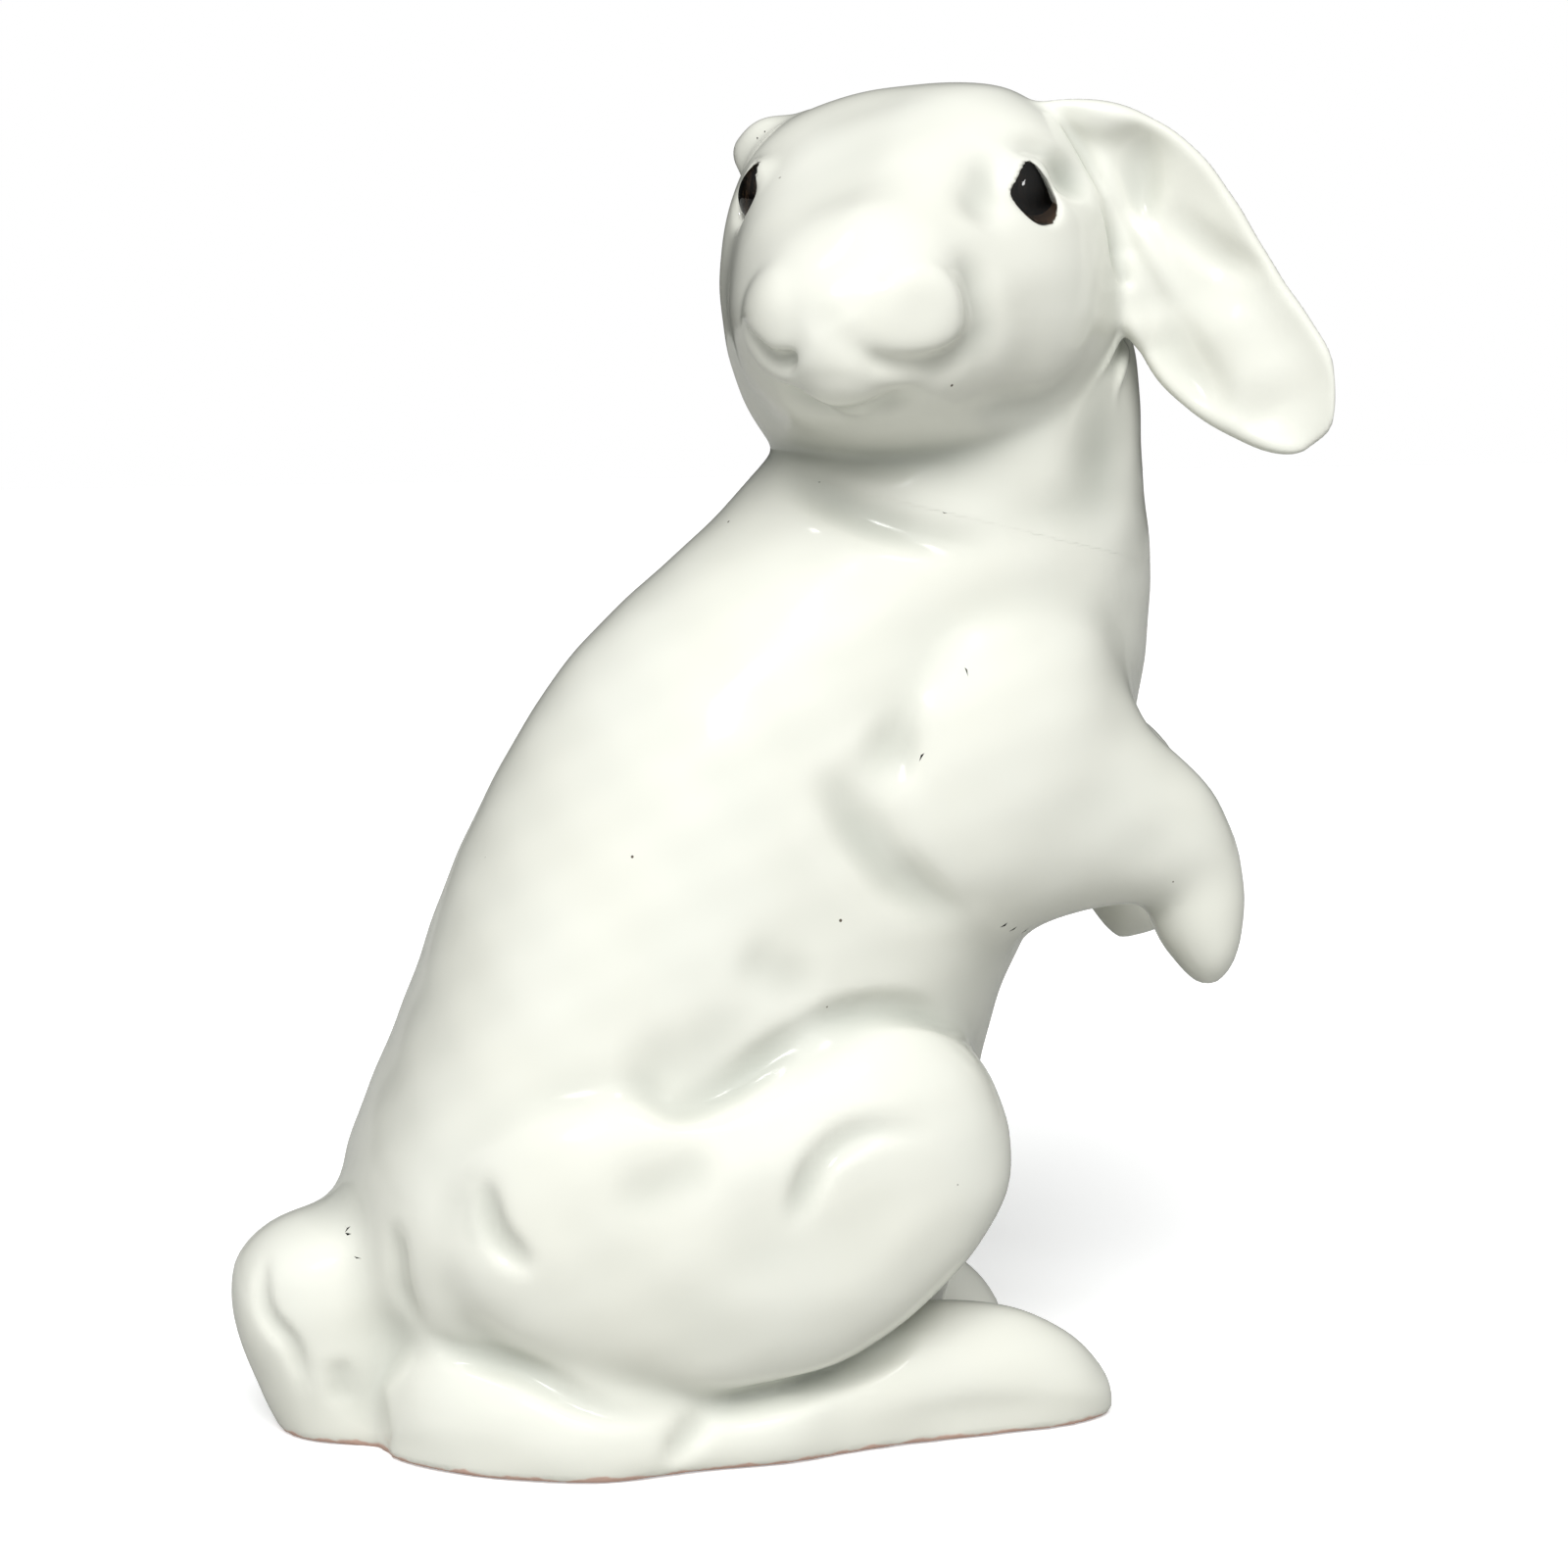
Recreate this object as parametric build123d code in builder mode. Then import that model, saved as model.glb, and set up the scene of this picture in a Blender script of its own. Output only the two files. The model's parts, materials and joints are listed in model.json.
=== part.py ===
# Glazed earthenware rabbit, sitting up on its haunches and looking back over its right shoulder.
# It is made as a pottery makes it: a hollow body casting, a hollow head casting luted on at the
# neck, limbs, ears and tail luted on to those, and two glass eyes bedded in cement.
# Millimetres. +X is the way the body faces, +Y is the rabbit's left, +Z is up.
# The origin is on the ground, under the middle of the body.
from build123d import *
from math import cos, radians, sin
import os

# Walls, holes and seats
wall = 6.0
base_wall = 8.0
vent_diameter = 11.0
overrun = 20.0

# Trunk, from the ground to the top of the neck, and how steeply the neck joint drops forwards
trunk_height = 263.0
trunk_length = 192.0
trunk_width = 108.0
neck_tilt = 14.0

# Haunch, a pillow on each side of the trunk
haunch_length = 132.0
haunch_height = 89.0
haunch_bulge = 13.0

# Hind foot
right_foot_length = 168.0
left_foot_length = 162.0
foot_height = 30.0
foot_width = 38.0

# Tail
tail_length = 45.0
tail_height = 51.0
tail_width = 42.0

# Foreleg
foreleg_reach = 100.0
foreleg_height = 101.0
foreleg_width = 38.0
left_wrist_reach = 110.0
left_wrist_lift = 4.0

# Head
head_turn = -122.0
head_length = 105.0
head_height = 101.0
head_width = 90.0
pad_diameter = 31.0
lip_diameter = 22.0

# Ears
left_ear_spread = 82.0
left_ear_drop = 78.0
left_ear_thickness = 11.0
right_ear_length = 62.0
right_ear_drop = 82.0
right_ear_width = 30.0
right_ear_thickness = 10.0

# Eyes
eye_angle = 54.0
eye_diameter = 14.0
eye_dome = 4.0
eye_edge = 1.2
eye_sink = 2.6
eye_clearance = 0.2
enamel_thickness = 0.6
cement_depth = 6.0

# Places that follow from those sizes
trunk_back = -0.542 * trunk_length
haunch_reach = trunk_width / 2 + haunch_bulge
haunch_middle = trunk_back + 0.416 * trunk_length
haunch_low = 0.43 * foot_height
foot_heel = trunk_back + 0.031 * trunk_length
foot_middle = 0.6 * haunch_reach
tail_root = trunk_back + 0.1 * trunk_length
foreleg_root = trunk_back + 0.552 * trunk_length
foreleg_low = 0.376 * trunk_height
foreleg_middle = 0.556 * trunk_width / 2
head_centre = (trunk_back + 0.672 * trunk_length, -0.13 * trunk_width, 0.973 * trunk_height)
head_nose = 0.543 * head_length
round_share = 0.71


def closed_slice(plane, points):
    """A flat slice bounded by one smooth closed curve through the points."""
    with BuildSketch(plane) as section:
        with BuildLine():
            Spline(*points, periodic=True)
        make_face()
    return section.sketch


def oval(length, width, back_share=round_share):
    """Eight points round an oval, with how square it is at the back."""
    x, y = length / 2, width / 2
    return [
        (0, y),
        (x * round_share, y * round_share),
        (x, 0),
        (x * round_share, -y * round_share),
        (0, -y),
        (-x * back_share, -y * back_share),
        (-x, 0),
        (-x * back_share, y * back_share),
    ]


def plane_between(near, far, side):
    """The plane of a slice that runs from near to far and is as thick as it is along side."""
    across = far - near
    return Plane(origin=(near + far) / 2, x_dir=across, z_dir=across.cross(side))


# Trunk. Each row is height, back and front, as shares of its height and length, then half width
# and how square the back of the slice is.
trunk_shares = [
    (0.000, 0.062, 0.719, 0.48, 0.76),
    (0.046, 0.036, 0.734, 0.60, 0.77),
    (0.099, 0.021, 0.750, 0.80, 0.79),
    (0.152, 0.005, 0.760, 0.94, 0.80),
    (0.209, 0.003, 0.770, 0.99, 0.80),
    (0.285, 0.036, 0.780, 1.00, 0.79),
    (0.380, 0.089, 0.815, 1.00, 0.77),
    (0.456, 0.124, 0.872, 0.98, 0.75),
    (0.532, 0.169, 0.938, 0.95, 0.73),
    (0.608, 0.226, 0.979, 0.90, 0.72),
    (0.684, 0.304, 0.995, 0.84, 0.71),
    (0.760, 0.422, 0.995, 0.77, 0.71),
    (0.837, 0.526, 0.982, 0.71, 0.71),
    (0.913, 0.604, 0.974, 0.66, 0.71),
    (0.973, 0.667, 0.943, 0.54, 0.71),
    (1.000, 0.719, 0.896, 0.34, 0.71),
]


def trunk_slices(inset, low, high):
    """Level slices of the trunk, drawn in by inset, between two heights."""
    slices = []
    for height, back, front, half, square in trunk_shares:
        level = height * trunk_height
        if low <= level <= high:
            length = (front - back) * trunk_length - 2 * inset
            middle = trunk_back + (back + front) * trunk_length / 2
            plane = Plane(origin=(middle, 0, level))
            points = oval(length, half * trunk_width - 2 * inset, square)
            slices.append(closed_slice(plane, points))
    return slices


with BuildPart() as trunk_form:
    loft(sections=trunk_slices(0, 0, trunk_height))

# Haunch. The outline from the side, as shares of its length back from the knee and of its height,
# then how far out each slice lies, how large it is there and how far its middle is shifted ahead.
haunch_outline_shares = [
    (0.000, 0.590),
    (0.025, 0.770),
    (0.110, 0.930),
    (0.250, 1.000),
    (0.400, 0.950),
    (0.560, 0.880),
    (0.720, 0.870),
    (0.880, 0.800),
    (0.980, 0.600),
    (0.990, 0.350),
    (0.880, 0.150),
    (0.700, 0.030),
    (0.500, 0.000),
    (0.300, 0.080),
    (0.110, 0.290),
]
haunch_slice_shares = [
    (0.10, 0.90, 0.00),
    (0.45, 1.00, 0.00),
    (0.66, 0.98, 0.01),
    (0.80, 0.90, 0.03),
    (0.90, 0.75, 0.06),
    (0.97, 0.52, 0.09),
    (1.00, 0.24, 0.11),
]


def haunch_slices(inset):
    """Upright slices of the right haunch, drawn in by inset, from inside the trunk outwards."""
    slices = []
    for reach, size, ahead in haunch_slice_shares:
        length = haunch_length * size - 2 * inset
        height = haunch_height * size - 2 * inset
        out = reach * (haunch_reach - inset)
        if length > 0 and height > 0:
            points = [((0.5 - x) * length, (z - 0.5) * height) for x, z in haunch_outline_shares]
            origin = (
                haunch_middle + ahead * haunch_length,
                -out,
                haunch_low + haunch_height / 2,
            )
            plane = Plane(origin=origin, x_dir=(1, 0, 0), z_dir=(0, -1, 0))
            slices.append(closed_slice(plane, points))
    return slices


with BuildPart() as haunch_form:
    loft(sections=haunch_slices(0))
    mirror(about=Plane.XZ)

# The neck joint, a plane that drops towards the front of the neck
neck_joint = Plane(origin=(trunk_back + 0.52 * trunk_length, 0, 0.829 * trunk_height)).rotated(
    (0, neck_tilt, 0)
)

# Head. Its own frame has x to the rabbit's left, y up and z ahead. Each row is how far back from
# the nose, the top, the bottom and the half width, and how square the top of the slice is.
head_ahead = Vector(cos(radians(head_turn)), sin(radians(head_turn)), 0)
head_left = Vector(-head_ahead.Y, head_ahead.X, 0)
head_frame = Plane(origin=head_centre, x_dir=head_left, z_dir=head_ahead)
head_shares = [
    (0.000, 0.010, -0.069, 0.09, 0.71),
    (0.019, 0.060, -0.099, 0.20, 0.71),
    (0.067, 0.129, -0.149, 0.40, 0.72),
    (0.143, 0.198, -0.218, 0.57, 0.74),
    (0.219, 0.257, -0.267, 0.67, 0.76),
    (0.352, 0.356, -0.327, 0.78, 0.78),
    (0.486, 0.436, -0.406, 0.93, 0.79),
    (0.629, 0.485, -0.495, 1.00, 0.78),
    (0.752, 0.470, -0.515, 0.97, 0.76),
    (0.857, 0.396, -0.485, 0.82, 0.74),
    (0.933, 0.287, -0.416, 0.60, 0.72),
    (0.981, 0.158, -0.307, 0.33, 0.71),
    (1.000, 0.059, -0.178, 0.11, 0.71),
]
head_widest_share = -0.06


def head_point(left, up, ahead):
    """A point in the head's own frame, as a place in the part."""
    return head_frame.from_local_coords(Vector(left, up, ahead))


def head_slices(inset):
    """Upright slices of the head, drawn in by inset, from the nose to the nape."""
    slices = []
    for back, top_share, bottom_share, half, square in head_shares:
        top, bottom = top_share * head_height - inset, bottom_share * head_height + inset
        widest = head_widest_share * head_height
        side = half * head_width / 2 - inset
        if side > inset and top > widest + inset and bottom < widest - inset:
            above, below = widest + (top - widest) * square, widest + (bottom - widest) * round_share
            points = [
                (0, top),
                (side * square, above),
                (side, widest),
                (side * round_share, below),
                (0, bottom),
                (-side * round_share, below),
                (-side, widest),
                (-side * square, above),
            ]
            plane = head_frame.offset(head_nose - inset - back * (head_length - 2 * inset))
            slices.append(closed_slice(plane, points))
    return slices


with BuildPart() as head_form:
    loft(sections=head_slices(0))
    with Locations(
        head_point(0.115 * head_width, -0.03 * head_height, head_nose - 0.165 * head_length),
        head_point(-0.105 * head_width, -0.03 * head_height, head_nose - 0.165 * head_length),
    ):
        Sphere(pad_diameter / 2)
    with Locations(head_point(0, -0.13 * head_height, head_nose - 0.15 * head_length)):
        Sphere(lip_diameter / 2)
    add(split(trunk_form.part, bisect_by=neck_joint, keep=Keep.TOP, mode=Mode.PRIVATE))
    split(bisect_by=neck_joint, keep=Keep.TOP)

with BuildPart() as body_form:
    add(split(trunk_form.part, bisect_by=neck_joint, keep=Keep.BOTTOM, mode=Mode.PRIVATE))
    add(haunch_form.part)

# Cavities: the trunk and neck in one above the base, one in each haunch, and the head
with BuildPart() as trunk_cavity:
    loft(sections=trunk_slices(wall, 0, 0.95 * trunk_height))
    split(bisect_by=Plane.XY.offset(base_wall), keep=Keep.TOP)

with BuildPart() as haunch_cavity:
    loft(sections=haunch_slices(wall))
    mirror(about=Plane.XZ)

with BuildPart() as head_cavity:
    loft(sections=head_slices(wall))

# Body casting, closed underneath but for the vent that lets steam out in the kiln
with BuildPart() as body:
    add(body_form.part)
    add(trunk_cavity.part, mode=Mode.SUBTRACT)
    add(haunch_cavity.part, mode=Mode.SUBTRACT)
    with BuildSketch(Plane.XY.offset(-overrun)):
        with Locations((-0.15 * trunk_length, 0)):
            Circle(vent_diameter / 2)
    extrude(amount=base_wall + 2 * overrun, mode=Mode.SUBTRACT)
body.part.label = "body"

# Eyes. Each looks straight out from the head's skin.
def eye_plane(side):
    """The plane on the head's skin at the middle of one eye, looking out."""
    outward = head_ahead * cos(radians(eye_angle)) + head_left * (side * sin(radians(eye_angle)))
    middle = head_point(side * 0.2 * head_width, 0.236 * head_height, 0.03 * head_length)
    crossings = head_form.part.find_intersection_points(Axis(middle, outward))
    skin = max((point for point, normal in crossings), key=lambda point: (point - middle).dot(outward))
    return Plane(origin=skin, x_dir=Vector(0, 0, 1), z_dir=outward)


eye_planes = {"left": eye_plane(1), "right": eye_plane(-1)}
socket_diameter = eye_diameter + 2 * eye_clearance
enamel_depth = eye_sink + eye_edge
cement_top = enamel_depth + enamel_thickness

with BuildPart() as head:
    add(head_form.part)
    add(trunk_cavity.part, mode=Mode.SUBTRACT)
    add(head_cavity.part, mode=Mode.SUBTRACT)
    for plane in eye_planes.values():
        with BuildSketch(plane.offset(-cement_top - cement_depth)):
            Circle(socket_diameter / 2)
        extrude(amount=cement_top + cement_depth + overrun, mode=Mode.SUBTRACT)
head.part.label = "head"

pieces = {"body": body, "head": head}

for side, plane in eye_planes.items():
    with BuildPart() as eye_glass:
        with BuildSketch(Plane(plane.origin, x_dir=plane.x_dir, z_dir=-plane.y_dir)):
            with BuildLine():
                Polyline(
                    (0, -eye_sink),
                    (0, -enamel_depth),
                    (eye_diameter / 2, -enamel_depth),
                    (eye_diameter / 2, -eye_sink),
                )
                RadiusArc(
                    (eye_diameter / 2, -eye_sink),
                    (0, eye_dome - eye_sink),
                    -((eye_diameter / 2) ** 2 + eye_dome**2) / (2 * eye_dome),
                )
                Line((0, eye_dome - eye_sink), (0, -eye_sink))
            make_face()
        revolve(axis=Axis(plane.origin, plane.z_dir))
    eye_glass.part.label = side + "_eye_glass"

    with BuildPart() as eye_enamel:
        with BuildSketch(plane.offset(-cement_top)):
            Circle(eye_diameter / 2)
        extrude(amount=enamel_thickness)
    eye_enamel.part.label = side + "_eye_enamel"

    with BuildPart() as eye_cement:
        with BuildSketch(plane.offset(-cement_top - cement_depth)):
            Circle(socket_diameter / 2)
        extrude(amount=cement_depth)
    eye_cement.part.label = side + "_eye_cement"

    pieces[side + "_eye_glass"] = eye_glass
    pieces[side + "_eye_enamel"] = eye_enamel
    pieces[side + "_eye_cement"] = eye_cement

# Forelegs, held up in front of the chest with the paws hanging. Each row is the front edge and
# the back edge of a slice, as shares of the reach and height, then how far out it lies and its
# half width, as shares of the leg's width.
foreleg_shares = [
    (0.340, 0.930, 0.000, 0.465, 0.860, 0.76),
    (0.500, 0.850, 0.060, 0.317, 1.050, 1.09),
    (0.627, 0.743, 0.230, 0.198, 1.080, 1.06),
    (0.726, 0.624, 0.428, 0.183, 1.040, 0.94),
    (0.836, 0.535, 0.597, 0.193, 1.000, 0.82),
    (0.915, 0.455, 0.706, 0.198, 0.967, 0.74),
    (0.975, 0.347, 0.766, 0.178, 0.933, 0.68),
    (1.000, 0.208, 0.796, 0.124, 0.933, 0.63),
    (0.990, 0.099, 0.836, 0.064, 0.933, 0.53),
    (0.960, 0.025, 0.876, 0.020, 0.933, 0.32),
    (0.935, 0.000, 0.900, 0.002, 0.933, 0.13),
]


def foreleg_slices(side, wrist_reach, wrist_lift):
    """Slices of one foreleg from the shoulder to the tip of the paw; side is 1 for the left."""
    slices = []
    for front, high, back, low, out, half in foreleg_shares:
        y = side * out * foreleg_middle
        near = Vector(foreleg_root + back * foreleg_reach, y, foreleg_low + low * foreleg_height)
        far = Vector(foreleg_root + front * wrist_reach, y, foreleg_low + high * foreleg_height)
        far += Vector(0, 0, front * wrist_lift)
        points = oval((far - near).length, half * foreleg_width)
        slices.append(closed_slice(plane_between(near, far, Vector(0, 1, 0)), points))
    return slices


for name, side, wrist_reach, wrist_lift in [
    ("left_foreleg", 1, left_wrist_reach, left_wrist_lift),
    ("right_foreleg", -1, foreleg_reach, 0),
]:
    with BuildPart() as foreleg:
        loft(sections=foreleg_slices(side, wrist_reach, wrist_lift))
        add(body_form.part, mode=Mode.SUBTRACT)
    foreleg.part.label = name
    pieces[name] = foreleg

# Hind feet, flat on the ground from beside the tail to the toes. Each row is how far along from
# the heel, how far out the middle lies, the half width and the height.
foot_shares = [
    (0.000, 0.650, 0.21, 0.50),
    (0.024, 0.700, 0.47, 0.70),
    (0.071, 0.775, 0.74, 0.87),
    (0.155, 0.900, 0.95, 0.90),
    (0.244, 1.000, 1.00, 0.83),
    (0.345, 0.975, 1.00, 0.73),
    (0.464, 0.950, 0.97, 0.73),
    (0.583, 0.912, 0.87, 0.83),
    (0.690, 0.900, 0.74, 0.98),
    (0.774, 0.887, 0.68, 1.00),
    (0.857, 0.875, 0.63, 0.90),
    (0.923, 0.863, 0.55, 0.72),
    (0.964, 0.850, 0.42, 0.53),
    (0.991, 0.838, 0.24, 0.33),
    (1.000, 0.838, 0.11, 0.20),
]
foot_below_share = 0.35


def foot_slices(side, foot_length):
    """Upright slices across one hind foot, reaching below the ground until it is ground flat."""
    slices = []
    for along, out, half, high in foot_shares:
        top, width = high * foot_height, half * foot_width
        middle = (top - foot_below_share * top) / 2
        plane = Plane(
            origin=(foot_heel + along * foot_length, side * out * foot_middle, middle),
            x_dir=(0, 0, 1),
            z_dir=(1, 0, 0),
        )
        slices.append(closed_slice(plane, oval(top + foot_below_share * top, width)))
    return slices


for name, side, foot_length in [
    ("left_hind_foot", 1, left_foot_length),
    ("right_hind_foot", -1, right_foot_length),
]:
    with BuildPart() as hind_foot:
        loft(sections=foot_slices(side, foot_length))
        split(bisect_by=Plane.XY, keep=Keep.TOP)
        add(trunk_form.part, mode=Mode.SUBTRACT)
        add(haunch_form.part, mode=Mode.SUBTRACT)
    hind_foot.part.label = name
    pieces[name] = hind_foot

# Tail, standing on the ground against the rump. Each row is height, how far the back stands in
# from the furthest point, and the half width.
tail_shares = [
    (0.000, 0.240, 0.80),
    (0.078, 0.200, 0.86),
    (0.275, 0.100, 0.93),
    (0.510, 0.011, 1.00),
    (0.686, 0.000, 1.00),
    (0.824, 0.067, 0.93),
    (0.922, 0.189, 0.76),
    (0.980, 0.356, 0.48),
    (1.000, 0.533, 0.19),
]

with BuildPart() as tail:
    tail_slices = []
    for height, back, half in tail_shares:
        length = (1 - back) * tail_length
        plane = Plane(origin=(tail_root - length / 2, 0, height * tail_height))
        tail_slices.append(closed_slice(plane, oval(length, half * tail_width)))
    loft(sections=tail_slices)
    add(trunk_form.part, mode=Mode.SUBTRACT)
    add(haunch_form.part, mode=Mode.SUBTRACT)
tail.part.label = "tail"
pieces["tail"] = tail

# Ears
def ear_slice(plane, length, thickness):
    """One slice of an ear: hollow in front, full behind, thin outside and rolled thick inside."""
    x, y = length / 2, thickness / 2
    inner_front, outer_front = (-0.80 * x, 0.80 * y), (0.88 * x, 0.42 * y)
    inner_back, outer_back = (-0.80 * x, -0.75 * y), (0.88 * x, -0.42 * y)
    with BuildSketch(plane) as section:
        with BuildLine():
            ThreePointArc(inner_front, (0, 0.12 * y), outer_front)
            ThreePointArc(outer_front, (x, 0), outer_back)
            ThreePointArc(outer_back, (0, -y), inner_back)
            ThreePointArc(inner_back, (-x, 0), inner_front)
        make_face()
    return section.sketch


# The left ear hangs out to the side. Each row is the outer edge and the inner edge, out and down,
# then how far behind the middle of the head it lies and its thickness.
left_ear_shares = [
    (0.122, 0.060, -0.024, 0.330, 0.59, 0.64),
    (0.330, 0.000, 0.220, 0.265, 0.77, 0.96),
    (0.512, 0.065, 0.323, 0.390, 0.94, 1.00),
    (0.700, 0.270, 0.405, 0.630, 1.00, 0.93),
    (0.853, 0.520, 0.506, 0.820, 0.97, 0.87),
    (0.968, 0.690, 0.680, 0.940, 0.91, 0.79),
    (1.000, 0.859, 0.848, 1.000, 0.85, 0.62),
    (0.982, 0.929, 0.902, 0.994, 0.85, 0.36),
]
left_ear_root = (0.155 * head_width, 0.436 * head_height, -0.162 * head_length)

with BuildPart() as left_ear:
    left_ear_slices = []
    for outer, outer_drop, inner, inner_drop, behind, thick in left_ear_shares:
        near = head_point(
            left_ear_root[0] + inner * left_ear_spread,
            left_ear_root[1] - inner_drop * left_ear_drop,
            behind * left_ear_root[2],
        )
        far = head_point(
            left_ear_root[0] + outer * left_ear_spread,
            left_ear_root[1] - outer_drop * left_ear_drop,
            behind * left_ear_root[2],
        )
        plane = plane_between(near, far, head_ahead)
        left_ear_slices.append(ear_slice(plane, (far - near).length, thick * left_ear_thickness))
    loft(sections=left_ear_slices)
    add(head_form.part, mode=Mode.SUBTRACT)
left_ear.part.label = "left_ear"
pieces["left_ear"] = left_ear

# The right ear is laid back behind the head. Each row is the inner edge and the outer edge, each
# as out to the side, back and down, then how far the ear has bent over and its thickness.
right_ear_shares = [
    (0.40, 0.02, 0.250, 1.13, 0.02, 0.350, 0.00, 0.60),
    (0.57, 0.21, 0.130, 1.57, 0.26, 0.180, 0.05, 1.25),
    (0.63, 0.44, 0.160, 1.59, 0.48, 0.240, 0.28, 1.10),
    (0.63, 0.64, 0.245, 1.53, 0.69, 0.365, 0.55, 1.00),
    (0.60, 0.79, 0.535, 1.47, 0.82, 0.560, 0.83, 0.95),
    (0.63, 0.85, 0.755, 1.40, 0.87, 0.780, 0.97, 0.85),
    (0.70, 0.87, 0.900, 1.33, 0.87, 0.915, 1.00, 0.70),
    (0.83, 0.87, 0.985, 1.20, 0.87, 0.995, 1.00, 0.40),
]
right_ear_root = (0, 0.475 * head_height, -0.03 * head_length)

with BuildPart() as right_ear:
    right_ear_slices = []
    for inner, inner_back, inner_drop, outer, outer_back, outer_drop, bend, thick in right_ear_shares:
        near = head_point(
            right_ear_root[0] - inner * right_ear_width,
            right_ear_root[1] - inner_drop * right_ear_drop,
            right_ear_root[2] - inner_back * right_ear_length,
        )
        far = head_point(
            right_ear_root[0] - outer * right_ear_width,
            right_ear_root[1] - outer_drop * right_ear_drop,
            right_ear_root[2] - outer_back * right_ear_length,
        )
        inward = head_ahead * sin(radians(90 * bend)) - Vector(0, 0, 1) * cos(radians(90 * bend))
        plane = plane_between(near, far, inward)
        right_ear_slices.append(ear_slice(plane, (far - near).length, thick * right_ear_thickness))
    loft(sections=right_ear_slices)
    add(head_form.part, mode=Mode.SUBTRACT)
right_ear.part.label = "right_ear"
pieces["right_ear"] = right_ear

os.makedirs("parts", exist_ok=True)
for name, piece in pieces.items():
    export_step(piece.part, "parts/" + name + ".step")
    print(name, round(piece.part.volume / 1000, 1), "ml", len(piece.part.solids()), "solid")
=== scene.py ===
# %% [markdown]
# # A glazed earthenware rabbit
# The real ornament is hollow slip-cast clay. Its body, head, forelegs, hind feet, ears and tail are
# luted together with wet clay, dipped in a thick warm white glaze and fired. The glaze runs over
# every joint, so the eye sees one soft skin with creases in it, and two dark glass eyes.
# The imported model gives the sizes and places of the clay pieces. Here they get that skin.

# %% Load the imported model
import json
import math

import bpy
import numpy as np
import openvdb
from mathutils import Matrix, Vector
from mathutils.bvhtree import BVHTree

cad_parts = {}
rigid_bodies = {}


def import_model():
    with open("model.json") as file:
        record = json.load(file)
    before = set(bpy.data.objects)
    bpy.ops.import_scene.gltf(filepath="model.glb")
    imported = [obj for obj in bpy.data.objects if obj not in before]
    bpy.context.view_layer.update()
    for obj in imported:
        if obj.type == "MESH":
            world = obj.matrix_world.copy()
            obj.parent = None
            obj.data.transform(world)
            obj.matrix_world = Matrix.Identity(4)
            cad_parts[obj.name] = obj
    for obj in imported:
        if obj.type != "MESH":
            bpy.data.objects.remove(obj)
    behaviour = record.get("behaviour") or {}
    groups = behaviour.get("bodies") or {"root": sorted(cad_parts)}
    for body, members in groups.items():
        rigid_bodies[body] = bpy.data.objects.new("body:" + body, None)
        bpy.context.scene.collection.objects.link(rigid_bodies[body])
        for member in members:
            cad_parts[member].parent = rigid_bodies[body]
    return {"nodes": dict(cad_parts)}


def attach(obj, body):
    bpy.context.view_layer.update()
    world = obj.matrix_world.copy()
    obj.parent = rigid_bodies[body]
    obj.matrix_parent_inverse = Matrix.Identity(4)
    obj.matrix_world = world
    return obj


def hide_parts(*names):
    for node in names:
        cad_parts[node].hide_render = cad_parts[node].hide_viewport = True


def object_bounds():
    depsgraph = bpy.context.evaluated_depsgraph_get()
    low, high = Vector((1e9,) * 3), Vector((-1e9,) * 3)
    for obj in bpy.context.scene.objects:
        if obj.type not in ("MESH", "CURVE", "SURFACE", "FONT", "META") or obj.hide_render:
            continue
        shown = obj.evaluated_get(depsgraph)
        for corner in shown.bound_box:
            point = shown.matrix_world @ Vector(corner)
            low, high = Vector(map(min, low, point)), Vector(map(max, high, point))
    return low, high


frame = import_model()
cad_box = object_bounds()
mm = 0.001
print("pieces in the packed model:", len(frame["nodes"]))

# %% [markdown]
# ## The camera
# The figure was seen from its right side, from a little above and behind, with its head turned to
# the lens. A camera could be moved by eye until the view fits, but numbers say more: the same ones
# turn a pixel of the 1600 pixel wide view into a ray, which is how creases are placed later on.

# %% Place the camera
view_azimuth = math.radians(-14.0)
view_elevation = math.radians(8.5)
view_distance = 900 * mm
view_target = Vector((0, 0, 145 * mm))
view_pixels = 1600
view_focal_pixels = 3974
sensor_width_mm = 36

view_back = Vector(
    (
        math.sin(view_azimuth) * math.cos(view_elevation),
        -math.cos(view_azimuth) * math.cos(view_elevation),
        math.sin(view_elevation),
    )
)
view_right = Vector((math.cos(view_azimuth), math.sin(view_azimuth), 0))
view_up = view_back.cross(view_right)
view_eye = view_target + view_back * view_distance

camera_data = bpy.data.cameras.new("camera")
camera_data.sensor_width = sensor_width_mm
camera_data.lens = view_focal_pixels / view_pixels * sensor_width_mm
camera = bpy.data.objects.new("camera", camera_data)
camera.location = view_eye
camera.rotation_mode = "QUATERNION"
camera.rotation_quaternion = (-view_back).to_track_quat("-Z", "Y")
bpy.context.scene.collection.objects.link(camera)
bpy.context.scene.camera = camera


def view_ray(pixel):
    """The direction in which the camera sees that pixel."""
    right = (pixel[0] - view_pixels / 2) / view_focal_pixels
    up = (view_pixels / 2 - pixel[1]) / view_focal_pixels
    return (view_right * right + view_up * up - view_back).normalized()


print("lens:", round(camera_data.lens, 1), "mm")

# %% [markdown]
# ## Clay as a distance field
# Wet clay parts flow into each other. Booleans or a Remesh modifier could join their polygons, but
# neither rounds the joint by a chosen radius, and with distances that is easy. Space is cut into
# small cubes, and each corner stores how far it is from a piece's surface: negative inside,
# positive outside. Two fields can then be blended with a round fillet, smoothed like clay under a
# wet sponge, and pressed with creases, and the skin is where the value is zero.

# %% Cut a block of space into cubes
field_reach = 15 * mm


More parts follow.
